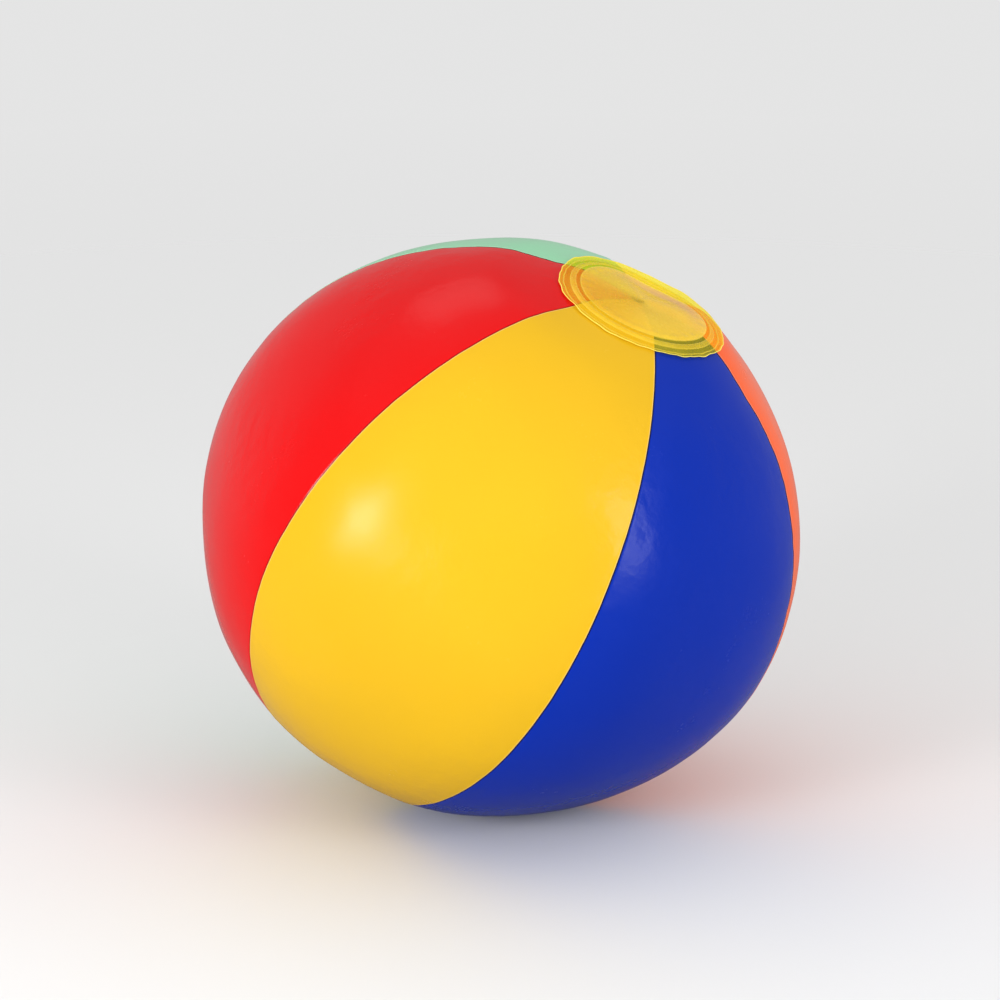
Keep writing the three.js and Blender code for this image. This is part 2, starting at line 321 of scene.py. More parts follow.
def pole_dent(points):
    """How far the skin round the upper pole stands above its even curve."""
    x, y = points[..., 0], points[..., 1]
    radius = np.hypot(x, y)
    stations, heights = np.array(POLE_PROFILE).T * MM
    height = sum(np.interp(radius + shift * MM, stations, heights) for shift in POLE_SHIFTS)
    height = height / len(POLE_SHIFTS)
    height = height + POLE_SLOPE[0] * x + POLE_SLOPE[1] * y
    turn = turn_from(np.arctan2(y, x), POLE_DIP_TURN)
    dip = POLE_DIP * bump_at(radius, POLE_DIP_RADIUS, POLE_DIP_WIDTH) * bump_at(turn, 0, POLE_DIP_SPREAD)
    height = height - dip
    return np.where(points[..., 2] > 0, height * (1 - smooth_step(radius, DENT_INNER, DENT_OUTER)), 0)


def skin(colatitude, longitude, lift):
    """Points over the skin, raised by lift, with the slow swells that a real inflated film has."""
    points = upright_skin(colatitude, longitude)
    length = np.linalg.norm(points, axis=-1)
    swell = sum(height * ripple(points, wavelength, seed) for height, wavelength, seed in SWELLS)
    raised = points * (1 + (lift + swell) / length)[..., None]
    raised[..., 2] += pole_dent(points)
    return lean_and_sag(raised)


def skin_bare(colatitude, longitude):
    return lean_and_sag(upright_skin(colatitude, longitude))


def skin_height(x, z):
    """Height along +Y of the skin over points of the X-Z plane near the valve."""
    raised = z / (1 - SAG)
    across = x * math.cos(POLE_LEAN) - raised * math.sin(POLE_LEAN)
    along = x * math.sin(POLE_LEAN) + raised * math.cos(POLE_LEAN)
    colatitude = np.arccos(along / (POLE_SHARE * RADIUS))
    longitude = np.full_like(x, math.pi / 2)
    for _ in range(SKIN_HEIGHT_PASSES):
        girth = girth_at(colatitude, longitude)
        longitude = np.arccos(across / girth)
    lift = skin(colatitude, longitude, np.zeros_like(x)) - skin_bare(colatitude, longitude)
    return girth * np.sin(longitude) + np.linalg.norm(lift, axis=-1) * np.sign(lift[..., 1])


# Mesh helpers

def mesh_object(name, points, faces, layers=None):
    mesh = bpy.data.meshes.new(name)
    mesh.from_pydata(points.reshape(-1, 3).tolist(), [], faces)
    for layer, values in (layers or {}).items():
        attribute = mesh.attributes.new(layer, "FLOAT", "POINT")
        attribute.data.foreach_set("value", np.asarray(values, np.float32).ravel())
    mesh.polygons.foreach_set("use_smooth", [True] * len(mesh.polygons))
    mesh.update()
    obj = bpy.data.objects.new(name, mesh)
    bpy.context.scene.collection.objects.link(obj)
    return obj


def grid_faces(rows, columns, first, closed, flip):
    """Quads of one side of a sheet whose points start at index first."""
    spans = columns if closed else columns - 1
    row = np.arange(rows - 1)[:, None]
    column = np.arange(spans)[None, :]
    after = (column + 1) % columns
    a = first + row * columns + column
    b = first + (row + 1) * columns + column
    c = first + (row + 1) * columns + after
    d = first + row * columns + after
    order = (a, d, c, b) if flip else (a, b, c, d)
    return np.stack(order, -1).reshape(-1, 4).tolist()


def sheet_object(name, outer, inner, closed=False, layers=None, capped=False):
    """A closed sheet of film between two grids of points. A capped one closes its first row as a middle."""
    rows, columns = outer.shape[:2]
    count = rows * columns
    faces = grid_faces(rows, columns, 0, closed, False) + grid_faces(rows, columns, count, closed, True)
    spans = columns if closed else columns - 1
    for column in range(spans):
        after = (column + 1) % columns
        last = (rows - 1) * columns
        faces.append([last + column, count + last + column, count + last + after, last + after])
        if not capped:
            faces.append([column, after, count + after, count + column])
    if capped:
        faces.append(list(range(columns)))
        faces.append(list(range(count + columns - 1, count - 1, -1)))
    if not closed:
        edge = columns - 1
        for row in range(rows - 1):
            here, below = row * columns, (row + 1) * columns
            faces.append([here, count + here, count + below, below])
            faces.append([here + edge, below + edge, count + below + edge, count + here + edge])
    points = np.concatenate([outer.reshape(-1, 3), inner.reshape(-1, 3)])
    doubled = {key: np.tile(values.ravel(), 2) for key, values in (layers or {}).items()}
    return mesh_object(name, points, faces, doubled)


def rounded(corners, radius, steps=4):
    """A closed outline with each corner rounded off."""
    corners = [np.array(corner, float) for corner in corners]
    outline = []
    for index, corner in enumerate(corners):
        before = corners[index - 1] - corner
        after = corners[(index + 1) % len(corners)] - corner
        cut = min(radius, np.linalg.norm(before) * 0.45, np.linalg.norm(after) * 0.45)
        start = corner + before / np.linalg.norm(before) * cut
        end = corner + after / np.linalg.norm(after) * cut
        for step in range(steps + 1):
            t = step / steps
            outline.append((1 - t) ** 2 * start + 2 * t * (1 - t) * corner + t * t * end)
    return outline


def lathe_object(name, outline, thin_and_recess_shade):
    """A ring or plug turned round the valve's axis, from radii and heights over the skin in mm.

    The last argument, given radius and height, says how thin and glassy the plastic looks there, from 0 to
    1, with painted shade in recesses.
    """
    radius, height = (np.array(outline) * MM).T
    angle = np.linspace(0, 2 * math.pi, LATHE_SEGMENTS, endpoint=False)[:, None]
    points = np.stack(
        [
            radius[None] * np.sin(angle),
            np.broadcast_to(VALVE_BASE + height, (LATHE_SEGMENTS, len(height))),
            radius[None] * np.cos(angle),
        ],
        -1,
    )
    count = len(outline)
    faces = []
    for segment in range(LATHE_SEGMENTS):
        onward = (segment + 1) % LATHE_SEGMENTS
        for step in range(count):
            later = (step + 1) % count
            faces.append([
                segment * count + step,
                onward * count + step,
                onward * count + later,
                segment * count + later,
            ])
    layer = np.array([thin_and_recess_shade(*place) for place in outline])
    obj = mesh_object(name, points, faces, {"thin_and_recess_shade": np.tile(layer, LATHE_SEGMENTS)})
    tidy_mesh(obj)
    return obj


def tidy_mesh(obj):
    """Joins points that meet, drops faces without area and turns every face outwards."""
    edit = bmesh.new()
    edit.from_mesh(obj.data)
    bmesh.ops.remove_doubles(edit, verts=edit.verts, dist=1e-6)
    bmesh.ops.dissolve_degenerate(edit, edges=edit.edges, dist=1e-7)
    bmesh.ops.recalc_face_normals(edit, faces=edit.faces)
    edit.to_mesh(obj.data)
    edit.free()
    obj.data.update()


def cut_out(obj, cutter):
    """Cuts cutter out of obj and throws cutter away."""
    modifier = obj.modifiers.new("cut", "BOOLEAN")
    modifier.operation = "DIFFERENCE"
    modifier.solver = "EXACT"
    modifier.object = cutter
    graph = bpy.context.evaluated_depsgraph_get()
    result = bpy.data.meshes.new_from_object(obj.evaluated_get(graph))
    obj.modifiers.clear()
    obj.data = result
    bpy.data.objects.remove(cutter)


# Material helpers

class Nodes:
    """A short way to build a node tree."""

    def __init__(self, name):
        self.material = bpy.data.materials.new(name)
        self.material.use_nodes = True
        self.tree = self.material.node_tree
        self.surface = self.tree.nodes["Principled BSDF"]
        self.output = self.tree.nodes["Material Output"]
        self.place = self.add("ShaderNodeTexCoord").outputs["Object"]

    def add(self, kind, **settings):
        node = self.tree.nodes.new(kind)
        for key, value in settings.items():
            setattr(node, key, value)
        return node

    def link(self, source, target):
        self.tree.links.new(source, target)

    def noise(self, scale, detail=3, roughness=0.5):
        node = self.add("ShaderNodeTexNoise")
        node.inputs["Scale"].default_value = scale
        node.inputs["Detail"].default_value = detail
        node.inputs["Roughness"].default_value = roughness
        self.link(self.place, node.inputs["Vector"])
        return node.outputs["Fac"]

    def remap(self, source, low, high, to_low, to_high):
        node = self.add("ShaderNodeMapRange")
        node.inputs["From Min"].default_value = low
        node.inputs["From Max"].default_value = high
        node.inputs["To Min"].default_value = to_low
        node.inputs["To Max"].default_value = to_high
        self.link(source, node.inputs["Value"])
        return node.outputs["Result"]

    def noise_between(self, low, high, scale, detail=3, roughness=0.5):
        """Noise that runs from about low to high."""
        return self.remap(self.noise(scale, detail, roughness), *NOISE_SPREAD, low, high)

    def maths(self, operation, first, second):
        node = self.add("ShaderNodeMath", operation=operation)
        for socket, value in zip(node.inputs, (first, second)):
            if isinstance(value, (int, float)):
                socket.default_value = value
            else:
                self.link(value, socket)
        return node.outputs["Value"]

    def mix(self, factor, first, second):
        node = self.add("ShaderNodeMix", data_type="RGBA")
        self.link(factor, node.inputs["Factor"])
        colours = [socket for socket in node.inputs if socket.type == "RGBA"]
        for socket, value in zip(colours, (first, second)):
            if isinstance(value, tuple):
                socket.default_value = (*value, 1)
            else:
                self.link(value, socket)
        return [socket for socket in node.outputs if socket.type == "RGBA"][0]

    def layer(self, name):
        return self.add("ShaderNodeAttribute", attribute_name=name).outputs["Fac"]

    def bump(self, height, strength, distance, onto=None):
        node = self.add("ShaderNodeBump")
        node.inputs["Strength"].default_value = strength
        node.inputs["Distance"].default_value = distance
        self.link(height, node.inputs["Height"])
        if onto is not None:
            self.link(onto, node.inputs["Normal"])
        return node.outputs["Normal"]


def shade(colour, factor):
    return tuple(min(1.0, part * factor) for part in colour)


def vinyl(name, colour):
    """Calendered vinyl film: glossy, faintly clouded, pale at a cut edge with a painted glint, and with a
    painted shadow line under a lap.
    """
    nodes = Nodes(name)
    surface = nodes.surface
    surface.inputs["IOR"].default_value = PLASTIC_IOR
    surface.inputs["Specular IOR Level"].default_value = 0.12
    cloud = nodes.noise_between(0, 1, scale=8)
    body = nodes.mix(cloud, shade(colour, 0.97), shade(colour, 1.02))
    pale = tuple(part + (PALE_EDGE - part) * PALE_SHARE for part in colour)
    lap_shade = LAP_SHADE_DEEP if max(colour) < DEEP_COLOUR else LAP_SHADE_LIGHT
    # Pale cut edge: the vinyl's own pale edge, with a painted glint on it.
    edged = nodes.mix(nodes.layer("pale_cut_edge_and_glint"), body, pale)
    # Painted shadow: the gore underneath is darker along the lap, less so on light colours.
    shaded = nodes.mix(nodes.layer("painted_lap_shadow"), edged, shade(colour, lap_shade))
    nodes.link(shaded, surface.inputs["Base Color"])
    fine = nodes.noise_between(-0.02, 0.02, scale=420, detail=4, roughness=0.6)
    broad = nodes.noise_between(0.19, 0.27, scale=30)
    nodes.link(nodes.maths("ADD", broad, fine), surface.inputs["Roughness"])
    calm = nodes.remap(nodes.noise(scale=14, detail=1), 0.4, 0.62, 0.15, 1)
    mottle = nodes.maths("MULTIPLY", nodes.noise(scale=95, roughness=0.55), calm)
    nodes.link(nodes.bump(mottle, strength=0.8, distance=0.0006), surface.inputs["Normal"])
    return nodes.material


def clear_yellow_film():
    """Tinted clear film: it shows the gores where it is welded to them, and is hazy where it stands off."""
    nodes = Nodes("clear_yellow_film")
    surface = nodes.surface
    surface.inputs["IOR"].default_value = PLASTIC_IOR
    surface.inputs["Specular IOR Level"].default_value = 0.5
    cloud = nodes.noise_between(0, 1, scale=45)
    hazy = nodes.mix(cloud, shade(HAZY_AMBER, 0.95), shade(HAZY_AMBER, 1.05))
    # Painted reflection: a beige patch on the membrane.
    hazy = nodes.mix(nodes.layer("painted_reflection"), hazy, PAINTED_REFLECTION_BEIGE)
    body = nodes.mix(nodes.layer("clear"), hazy, WELDED_LEMON)
    # Painted highlight: pale film on the ridges and the cut rim.
    nodes.link(nodes.mix(nodes.layer("painted_ridge_highlight"), body, PAINTED_RIDGE_HIGHLIGHT_YELLOW), surface.inputs["Base Color"])
    roughness = nodes.noise_between(0.2, 0.32, scale=300, detail=4)
    nodes.link(roughness, surface.inputs["Roughness"])
    soft = nodes.bump(nodes.noise(scale=70, detail=2), strength=0.3, distance=0.0002)
    grained = nodes.bump(nodes.noise(scale=900, detail=2), strength=0.3, distance=0.00002, onto=soft)
    nodes.link(grained, surface.inputs["Normal"])
    clear = nodes.add("ShaderNodeBsdfTransparent")
    clear.inputs["Color"].default_value = (*FILM_TINT, 1)
    grain = nodes.noise_between(-0.02, 0.02, scale=60, detail=2)
    haze = nodes.maths("ADD", nodes.layer("haze"), grain)
    blend = nodes.add("ShaderNodeMixShader")
    nodes.link(haze, blend.inputs["Fac"])
    nodes.link(clear.outputs["BSDF"], blend.inputs[1])
    nodes.link(surface.outputs["BSDF"], blend.inputs[2])
    nodes.link(blend.outputs["Shader"], nodes.output.inputs["Surface"])
    return nodes.material


def soft_white():
    """Soft moulded vinyl of the valve, slightly milky, with a fine satin texture."""
    nodes = Nodes("soft_white_plastic")
    surface = nodes.surface
    surface.inputs["IOR"].default_value = PLASTIC_IOR
    surface.inputs["Subsurface Weight"].default_value = 0.25
    surface.inputs["Subsurface Scale"].default_value = 0.002
    cloud = nodes.noise_between(0, 1, scale=180)
    milky = nodes.mix(cloud, shade(SOFT_WHITE, 0.95), shade(SOFT_WHITE, 1.03))
    # Greyer where the plastic is thin, and painted shade in grooves, between ribs and in the plug's recess.
    nodes.link(nodes.mix(nodes.layer("thin_and_recess_shade"), milky, THIN_AND_SHADED_GREY), surface.inputs["Base Color"])
    nodes.link(nodes.noise_between(0.24, 0.36, scale=900), surface.inputs["Roughness"])
    nodes.link(nodes.bump(nodes.noise(scale=1500), strength=0.15, distance=0.0001), surface.inputs["Normal"])
    return nodes.material


# Gores

def edge_offsets(on_top):
    return np.array(TOP_EDGE if on_top else UNDER_EDGE) * MM


def gore_longitudes(first, colatitude, on_top):
    """Longitudes of the gore's grid: strips of set width along both seams, and even strips between them."""
    around = RADIUS * np.sin(colatitude)[:, None]
    offsets = edge_offsets(on_top)
    squeeze = np.minimum(1, EDGE_STRIP_SHARE * GORE_ANGLE * around / offsets[-1])
    near = first + squeeze * offsets[None] / around
    far = first + GORE_ANGLE - squeeze * offsets[::-1][None] / around
    share = np.linspace(0, 1, GORE_COLUMNS + 2)[None, 1:-1]
    middle = near[:, -1:] + (far[:, :1] - near[:, -1:]) * share
    return np.concatenate([near, middle, far], 1)


def seam_profile(distance, on_top):
    """Height of the film near a seam, by distance inwards from the visible edge."""
    if on_top:
        bead = SEAM_BEAD * bump_at(distance, SEAM_BEAD_INSET, SEAM_BEAD_WIDTH)
        hidden_edge = HIDDEN_EDGE_RIDGE * bump_at(distance, LAP, HIDDEN_EDGE_WIDTH)
        return bead + hidden_edge
    groove = SEAM_GROOVE * bump_at(distance, 0, SEAM_GROOVE_WIDTH)
    return -(FILM + SEAM_GAP) * (1 - smooth_step(distance, 0.15 * MM, JOGGLE)) - groove


def seam_pucker(distance, along, seam):
    """Small waves across a seam, which the weld gathers into the film on both sides."""
    random = np.random.default_rng(PUCKER_SEED + seam)
    height = np.zeros_like(along)
    for wavelength in PUCKER_WAVELENGTHS_MM:
        phase, swing = random.uniform(0, 2 * math.pi, 2)
        strength = 0.6 + 0.4 * np.sin(along / (wavelength * 4.3 * MM) + swing)
        height += strength * np.sin(2 * math.pi * along / (wavelength * MM) + phase)
    return PUCKER_HEIGHT * height * np.exp(-np.abs(distance) / PUCKER_REACH)


def make_gore(index):
    name, slot, colour, on_top = GORES[index]
    first = index * GORE_ANGLE
    colatitude = np.linspace(GORE_TIP, math.pi - GORE_TIP, GORE_ROWS + 1)
    longitude = gore_longitudes(first, colatitude, on_top)
    colatitude = np.broadcast_to(colatitude[:, None], longitude.shape)
    around = RADIUS * np.sin(colatitude)
    from_first = (longitude - first) * around
    from_last = (first + GORE_ANGLE - longitude) * around
    along = RADIUS * colatitude
    near_seam = np.minimum(from_first, from_last)
    lift = seam_profile(near_seam, on_top)
    next_seam = (index + 1) % GORE_COUNT
    lift = lift + seam_pucker(from_first, along, index) + seam_pucker(from_last, along, next_seam)
    outer = skin(colatitude, longitude, lift)
    inner = skin(colatitude, longitude, lift - FILM)
    # Pale cut edge with a painted glint on a gore on top.
    pale_cut_edge_and_glint = 1 - smooth_step(near_seam, *PALE_CUT_EDGE_AND_GLINT_SPAN)
    # Painted shadow line along the lap on a gore underneath.
    painted_lap_shadow = 1 - smooth_step(near_seam, *PAINTED_LAP_SHADOW_SPAN)
    layers = {"pale_cut_edge_and_glint": pale_cut_edge_and_glint * on_top, "painted_lap_shadow": painted_lap_shadow * (not on_top)}
    gore = sheet_object(name + "_film", outer, inner, layers=layers)
    tidy_mesh(gore)
    gore.data.materials.append(vinyl(slot, colour))
    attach(gore, "ball")
    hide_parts(name)
    return gore


# End discs

def disc_lift(radius, angle, askew):
    """Height of a disc over the gores: pressed down at its two welds, loose between them and at its rim."""
    crown = DISC_CROWN * (1 - smooth_step(radius, 0.3 * INNER_WELD[0], INNER_WELD[0]))
    crown = crown + DISC_LIP * bump_at(radius, INNER_WELD[0] - 2.2 * MM, 1.8 * MM)
    channel = DISC_CHANNEL * bump_at(radius, (INNER_WELD[1] + OUTER_WELD[0]) / 2, 1.0 * MM)
    gather = np.sin(23 * angle + 1.1) + 0.7 * np.sin(31 * angle + 4) + 0.6 * np.sin(13 * angle)
    channel = channel * (1 + 0.15 * gather)
    free = smooth_step(radius, OUTER_WELD[1], DISC_RADIUS)
    wave = 0.5 * np.sin(5 * angle + 0.4) + 0.4 * np.sin(9 * angle + 2) + 0.35 * np.sin(16 * angle + 5)
    curl = RIM_CURL_MM * askew * (1 + np.cos(angle - RIM_CURL_TURN))
    rim = free * MM * (RIM_LIFT_MM + curl + RIM_WAVE_MM * wave)
    beads = sum(WELD_BEAD * bump_at(radius, edge, 0.3 * MM) for edge in (*INNER_WELD, *OUTER_WELD))
    wrinkle = DISC_WRINKLE * gather * bump_at(radius, INNER_WELD[0] - 3 * MM, 3 * MM)
    return DISC_CLEARANCE + crown + channel + rim + beads + wrinkle


def disc_rim(angle):
    """How far the hand-trimmed rim departs from its circle, as a share of the radius."""
    steps = np.tanh(3 * np.sin(5 * angle + 2)) * 0.004
    return steps + 0.005 * np.sin(7 * angle) + 0.004 * np.sin(19 * angle + 2) + 0.003 * np.sin(33 * angle)


def disc_layers(radius, angle):
    """Where the film is clear, where it has a painted highlight on its ridges and cut rim or a painted beige
    reflection, and how hazy it is.
    """
    def band(low, high):
        return smooth_step(radius, low, low + 0.5 * MM) * (1 - smooth_step(radius, high - 0.5 * MM, high))

    inner, outer = band(*INNER_WELD), band(*OUTER_WELD)
    rim = smooth_step(radius, OUTER_WELD[1], OUTER_WELD[1] + 0.4 * MM)
    channel = band(INNER_WELD[1], OUTER_WELD[0])
    membrane = 1 - smooth_step(radius, INNER_WELD[0] - 0.3 * MM, INNER_WELD[0] + 0.2 * MM)
    # Painted highlight: pale, hazier film at the cut rim and on the weld-edge ridges, for the light they
    # catch.
    cut = smooth_step(radius, DISC_RADIUS - 0.6 * MM, DISC_RADIUS - 0.2 * MM)
    lines = sum(bump_at(radius, edge, 0.28 * MM) for edge in (*INNER_WELD, *OUTER_WELD))
    cleared = bump_at(turn_from(angle, CLEARED_TURN), 0, CLEARED_SPREAD)
    haze = HAZE_INNER_WELD * inner + HAZE_OUTER_WELD * outer + HAZE_RIM * rim + HAZE_CHANNEL * channel
    haze = haze + (HAZE_MIDDLE - HAZE_MIDDLE_CLEARED * cleared) * membrane
    painted_ridge_highlight = np.clip(0.5 * lines + cut, 0, 1)
    haze = np.maximum(haze, HAZE_LEAST)
    haze = haze + (HAZE_UNDER_RIDGE_HIGHLIGHT - haze) * painted_ridge_highlight
    # Painted reflection: a beige patch on the membrane for the white surroundings it reflects.
    painted_reflection_turn = turn_from(angle, PAINTED_REFLECTION_TURN)
    painted_reflection = bump_at(radius, PAINTED_REFLECTION_RADIUS, PAINTED_REFLECTION_WIDTH) * bump_at(painted_reflection_turn, 0, PAINTED_REFLECTION_SPREAD)
    clear = np.clip(inner + outer + rim + 0.4 * channel, 0, 1)
    return {"clear": clear, "painted_ridge_highlight": painted_ridge_highlight, "haze": haze, "painted_reflection": painted_reflection * membrane}


def make_end_disc(node, upper):
    radius = np.concatenate([
        np.linspace(DISC_START, DISC_MIDDLE, DISC_MIDDLE_RINGS, endpoint=False),
        np.linspace(DISC_MIDDLE, DISC_RADIUS, DISC_RINGS - DISC_MIDDLE_RINGS),
    ])[:, None]
    angle = np.linspace(0, 2 * math.pi, DISC_SPOKES, endpoint=False)[None]
    radius, angle = np.broadcast_arrays(radius, angle)
    askew = 1.0 if upper else 0.3
    outward = smooth_step(radius, OUTER_WELD[0], DISC_RADIUS)
    oval = UPPER_DISC_OVAL * np.cos(2 * (angle - UPPER_DISC_OVAL_TURN)) * upper
    trimmed = radius * (1 + oval + disc_rim(angle) * outward)
    x = trimmed * np.cos(angle) + UPPER_DISC_OFFSET[0] * upper
    y = trimmed * np.sin(angle) + UPPER_DISC_OFFSET[1] * upper
    colatitude = np.arcsin(np.hypot(x, y) / RADIUS)
    longitude = np.arctan2(y, x)
    if not upper:
        colatitude = math.pi - colatitude
        longitude = -longitude
    lift = disc_lift(radius, angle, askew)
    outer = skin(colatitude, longitude, lift + FILM)
    inner = skin(colatitude, longitude, lift)
    disc = sheet_object(
        node + "_film", outer, inner, closed=True, capped=True, layers=disc_layers(radius, angle)
    )
    tidy_mesh(disc)
    disc.data.materials.append(FILM_MATERIAL)
    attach(disc, "ball")
    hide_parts(node)


# Valve

def finish_valve_piece(obj, node, body):
    obj.data.materials.append(VALVE_MATERIAL)
    if body:
        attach(obj, body)
    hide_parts(node)


def make_flange():
    low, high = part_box("valve_flange")
    outer_radius = (high[0] - low[0]) / 2
    radius = np.linspace(FLANGE_HOLE, outer_radius, FLANGE_ROWS)[:, None]
    angle = np.linspace(0, 2 * math.pi, FLANGE_SPOKES, endpoint=False)[None]
    radius, angle = np.broadcast_arrays(radius, angle)
    share = (radius - FLANGE_HOLE) / (outer_radius - FLANGE_HOLE)
    bead = bump_at(share, 0.05, 0.06)
    grooves = sum(bump_at(share, ring, 0.03) for ring in FLANGE_GROOVE_SHARES)
    ribs = 0.5 + 0.5 * np.sin(FLANGE_RIBS * angle)
    band = smooth_step(share, 0.62, 0.66) * (1 - smooth_step(share, 0.84, 0.88))
    top = FLANGE_TOP * (1 - smooth_step(share, 0.86, 1.0) * 0.75)
    top = top + FLANGE_BEAD * bead - FLANGE_GROOVE * grooves - FLANGE_RIB * band * ribs
    # Greyer in the grooves and between the ribs, paler on the bead: thinner plastic, with painted shade in
    # the hollows.
    thin_and_recess_shade = np.clip(0.25 + 0.55 * grooves + 0.5 * band * ribs - 0.6 * bead, 0, 1)
    x, z = radius * np.sin(angle), radius * np.cos(angle)
    ground = skin_height(x, z) + FLANGE_CLEARANCE
    outer = np.stack([x, ground + top, z], -1)
    inner = np.stack([x, ground, z], -1)
    flange = sheet_object("valve_flange_ring", outer, inner, closed=True, layers={"thin_and_recess_shade": thin_and_recess_shade})
    tidy_mesh(flange)
    finish_valve_piece(flange, "valve_flange", "ball")


def make_web():
    """The folding web, a thin funnel that bends from the flange to the stem."""
    share = np.linspace(0, 1, 26)
    radius = WEB_OUTER_MM - WEB_NARROWING_MM * smooth_step(share, 0, 1)
    height = WEB_TOP_MM - WEB_DEPTH_MM * share
    upper = [[r, h] for r, h in zip(radius, height)]
    lower = [[r - 0.05, h - WEB_THICKNESS_MM] for r, h in zip(radius, height)]
    web = lathe_object("valve_web_funnel", upper + lower[::-1], lambda radius, height: 0.8)
    finish_valve_piece(web, "valve_web", None)
    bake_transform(web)


def make_stem():
    stem = lathe_object("valve_stem_tube", rounded(STEM_PROFILE, 0.3), lambda radius, height: 0.2)
    finish_valve_piece(stem, "valve_stem", "stem")


# Painted shade: the recess in the plug's head is greyer.
def plug_recess_shade(radius, height):
    return 0.7 if radius < PLUG_RECESS_RADIUS_MM and height > PLUG_RECESS_HEIGHT_MM else 0.0


def make_plug():
    axis = PLUG_PROFILE[0][0]
    outline = [(max(radius, axis), height) for radius, height in rounded(PLUG_PROFILE, 0.35)]
    plug = lathe_object("valve_plug_stopper", outline, plug_recess_shade)
    finish_valve_piece(plug, "valve_plug", "plug")


def strap_path():
    """Middle line of the strap's loop, from the valve's axis and the skin."""
    low, high = STRAP_LOW_MM, STRAP_HIGH_MM
    bend = (high - low) / 2
    points = [(x, low) for x in np.linspace(STRAP_STEM_END_MM, STRAP_BEND_MM, STRAP_STEPS)]
    for turn in np.linspace(0, math.pi, STRAP_STEPS)[1:-1]:
        points.append((STRAP_BEND_MM - bend * math.sin(turn), (low + high) / 2 - bend * math.cos(turn)))
    points += [(x, high) for x in np.linspace(STRAP_BEND_MM, STRAP_PLUG_END_MM, STRAP_STEPS)]
    return np.array(points) * MM


def make_strap():
    path = strap_path()
    tangent = np.gradient(path, axis=0)
    tangent /= np.linalg.norm(tangent, axis=1, keepdims=True)
    normal = np.stack([-tangent[:, 1], tangent[:, 0]], -1)
    section = np.array(rounded(STRAP_SECTION_MM, 0.3)) * MM
    share = np.linspace(0, 1, len(path))
    waist = 1 - STRAP_WAIST * np.sin(math.pi * share) ** 2
    across = section[None, :, 0] * waist[:, None]
    rise = np.broadcast_to(section[None, :, 1], across.shape)
    points = np.stack(
        [
            path[:, None, 0] + normal[:, None, 0] * rise,
            VALVE_BASE + path[:, None, 1] + normal[:, None, 1] * rise,
            across,
        ],
        -1,
    )
    rows, columns = points.shape[:2]
    faces = grid_faces(rows, columns, 0, True, False)
    faces.append(list(range(columns)))
    faces.append(list(range(rows * columns - 1, (rows - 1) * columns - 1, -1)))
    strap = mesh_object("plug_strap_loop", points, faces)
    tidy_mesh(strap)
    finish_valve_piece(strap, "plug_strap", None)
    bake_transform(strap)


def make_flap():
    """The non-return leaf: a thin round tongue with a narrow neck at its hinge."""
    rows, columns = 10, 64
    angle = np.linspace(0, 2 * math.pi, columns, endpoint=False)
    x = FLAP_RADIUS_MM * np.cos(angle)
    z = FLAP_RADIUS_MM * np.sin(angle)
    neck = np.abs(angle - math.pi) > math.pi * 0.86
    x = np.where(neck, FLAP_TAB_MM, x)
    z = np.clip(z, -FLAP_NECK_MM, FLAP_NECK_MM) * neck + z * ~neck
    share = np.linspace(0.05, 1, rows)[:, None]
    height = np.broadcast_to(FLAP_TOP_MM - FLAP_DISH_MM * (1 - share**2), (rows, columns))
    outer = np.stack([x * share, height, z * share], -1) * MM
    inner = outer - np.array([0, FLAP_THICKNESS, 0])
    lift = np.array([0, VALVE_BASE, 0])
    flap = sheet_object("valve_flap_leaf", outer + lift, inner + lift, closed=True, capped=True)
    tidy_mesh(flap)
    finish_valve_piece(flap, "valve_flap", "flap")


def make_valve():
    make_flange()
    make_web()
    make_stem()
    make_plug()
    make_strap()
    make_flap()


def cut_valve_hole(gore):
    """Cuts the round opening for the valve through the gore, along +Y."""
    angle = np.linspace(0, 2 * math.pi, LATHE_SEGMENTS, endpoint=False)
    ring = np.stack([np.sin(angle), np.zeros_like(angle), np.cos(angle)], -1) * VALVE_HOLE
    ends = [ring + np.array([0, VALVE_BASE + side * VALVE_HOLE_REACH, 0]) for side in (-1, 1)]
    faces = grid_faces(2, LATHE_SEGMENTS, 0, True, False)
    faces.append(list(range(LATHE_SEGMENTS)))
    faces.append(list(range(2 * LATHE_SEGMENTS - 1, LATHE_SEGMENTS - 1, -1)))
    cutter = mesh_object("valve_hole", np.concatenate(ends), faces)
    tidy_mesh(cutter)
    cut_out(gore, cutter)


# Stage

def make_world():
    """Even white light all round, which shows dimmer in reflections than it lights the object."""
    world = bpy.data.worlds.new("studio")
    world.use_nodes = True
    tree = world.node_tree
    background = tree.nodes["Background"]
    background.inputs["Color"].default_value = (1, 1, 1, 1)
    path = tree.nodes.new("ShaderNodeLightPath")
    level = tree.nodes.new("ShaderNodeMapRange")
    level.inputs["To Min"].default_value = WORLD_LEVEL
    level.inputs["To Max"].default_value = WORLD_LEVEL_REFLECTED
    tree.links.new(path.outputs["Is Glossy Ray"], level.inputs["Value"])
    tree.links.new(level.outputs["Result"], background.inputs["Strength"])
    bpy.context.scene.world = world


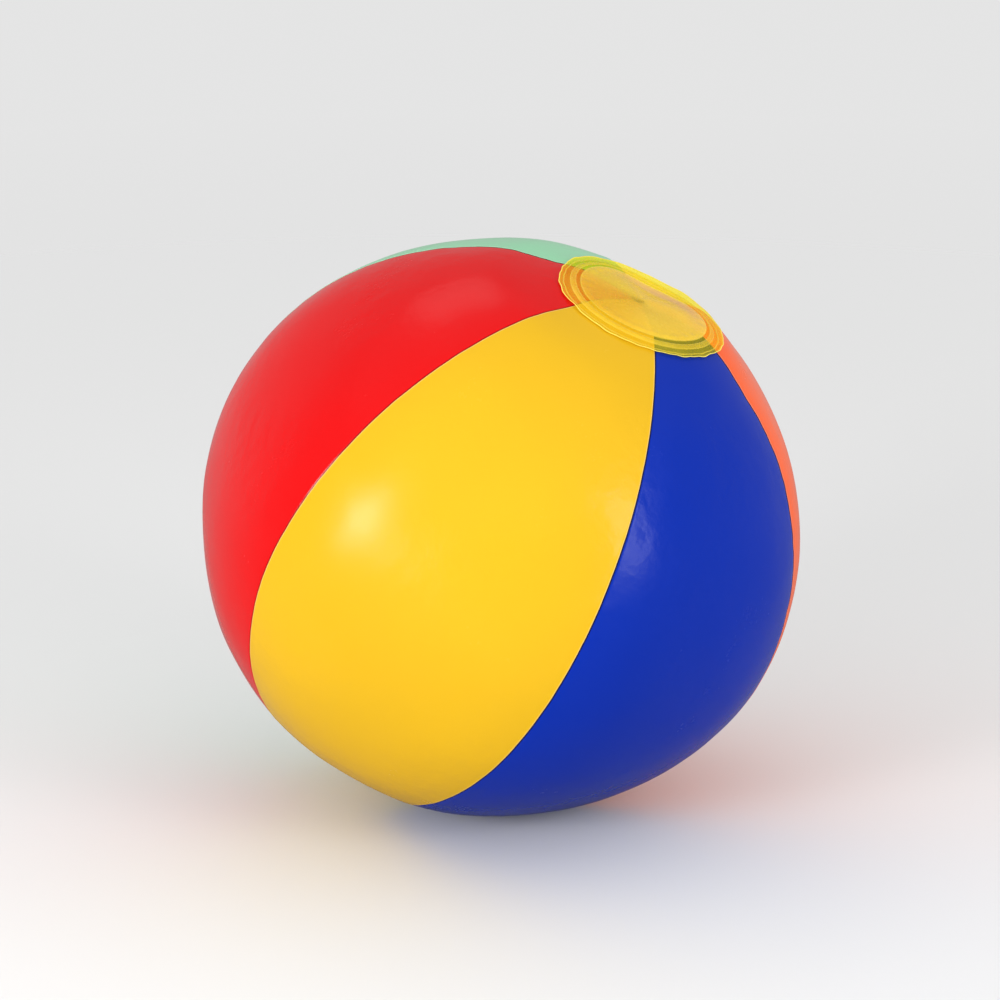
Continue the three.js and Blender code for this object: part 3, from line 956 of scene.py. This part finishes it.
def make_floor():
    """A pale floor that fades into the backdrop, and shows darker in reflections than it looks."""
    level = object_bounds()[0][2]
    signs = ((-1, -1), (1, -1), (1, 1), (-1, 1))
    corners = np.array([(x * FLOOR_HALF, y * FLOOR_HALF, level) for x, y in signs])
    floor = mesh_object("studio_floor", corners, [[0, 1, 2, 3]])
    nodes = Nodes("studio_floor")
    reflected = nodes.add("ShaderNodeLightPath").outputs["Is Glossy Ray"]
    nodes.link(nodes.mix(reflected, FLOOR_GREY, FLOOR_GREY_REFLECTED), nodes.surface.inputs["Base Color"])
    nodes.surface.inputs["Roughness"].default_value = 0.9
    away = nodes.add("ShaderNodeVectorMath", operation="LENGTH")
    nodes.link(nodes.place, away.inputs[0])
    fade = nodes.remap(away.outputs["Value"], *FLOOR_FADE, 0, 1)
    blend = nodes.add("ShaderNodeMixShader")
    nodes.link(fade, blend.inputs["Fac"])
    nodes.link(nodes.surface.outputs["BSDF"], blend.inputs[1])
    nodes.link(nodes.add("ShaderNodeBsdfTransparent").outputs["BSDF"], blend.inputs[2])
    nodes.link(blend.outputs["Shader"], nodes.output.inputs["Surface"])
    floor.data.materials.append(nodes.material)


def direction(azimuth, elevation):
    """Unit vector from the ball towards a place round it. Azimuth 0 is -Y, and 90 is +X."""
    a, e = math.radians(azimuth), math.radians(elevation)
    return Vector((math.sin(a) * math.cos(e), -math.cos(a) * math.cos(e), math.sin(e)))


def make_softbox(name, azimuth, elevation, distance, layers):
    """A softbox with a hot middle: nested area lights of (width, height, radiance)."""
    towards = direction(azimuth, elevation)
    for index, (width, height, radiance) in enumerate(layers):
        lamp = bpy.data.lights.new(name, "AREA")
        lamp.shape = "RECTANGLE"
        lamp.size, lamp.size_y = width, height
        lamp.energy = radiance * math.pi * width * height
        obj = bpy.data.objects.new(name + "_" + str(index), lamp)
        obj.location = towards * (distance + 0.02 * index)
        obj.rotation_euler = (-towards).to_track_quat("-Z", "Y").to_euler()
        bpy.context.scene.collection.objects.link(obj)


def make_sun(azimuth, elevation, strength, spread):
    lamp = bpy.data.lights.new("overhead", "SUN")
    lamp.energy = strength
    lamp.angle = math.radians(spread)
    obj = bpy.data.objects.new("overhead", lamp)
    obj.rotation_euler = (-direction(azimuth, elevation)).to_track_quat("-Z", "Y").to_euler()
    bpy.context.scene.collection.objects.link(obj)


def make_camera():
    data = bpy.data.cameras.new("camera")
    data.lens = FOCAL_LENGTH_MM
    data.sensor_width = SENSOR_MM
    camera = bpy.data.objects.new("camera", data)
    towards = direction(CAMERA_AZIMUTH, CAMERA_ELEVATION)
    rotation = (-towards).to_track_quat("-Z", "Y")
    rise = rotation @ Vector((0, AIM_ABOVE, 0))
    camera.location = towards * CAMERA_DISTANCE + rise
    camera.rotation_euler = rotation.to_euler()
    bpy.context.scene.collection.objects.link(camera)
    bpy.context.scene.camera = camera


def make_studio():
    make_world()
    make_floor()
    make_softbox("key_left", azimuth=-26, elevation=12, distance=1.6, layers=KEY_LIGHTS)
    make_softbox("fill_right", azimuth=65, elevation=14, distance=1.8, layers=FILL_LIGHTS)
    make_softbox("back_patch", azimuth=-144, elevation=57.5, distance=1.5, layers=BACK_LIGHTS)
    make_sun(azimuth=CAMERA_AZIMUTH + 20, elevation=75, strength=0.55, spread=110)
    make_camera()
    bpy.context.scene.view_settings.view_transform = "Standard"


FILM_MATERIAL = clear_yellow_film()
VALVE_MATERIAL = soft_white()
for gore_index in range(len(GORES)):
    made_gore = make_gore(gore_index)
    if GORES[gore_index][0] == "panel_white":
        cut_valve_hole(made_gore)
make_end_disc("end_disc_upper", True)
make_end_disc("end_disc_lower", False)
make_valve()
make_studio()
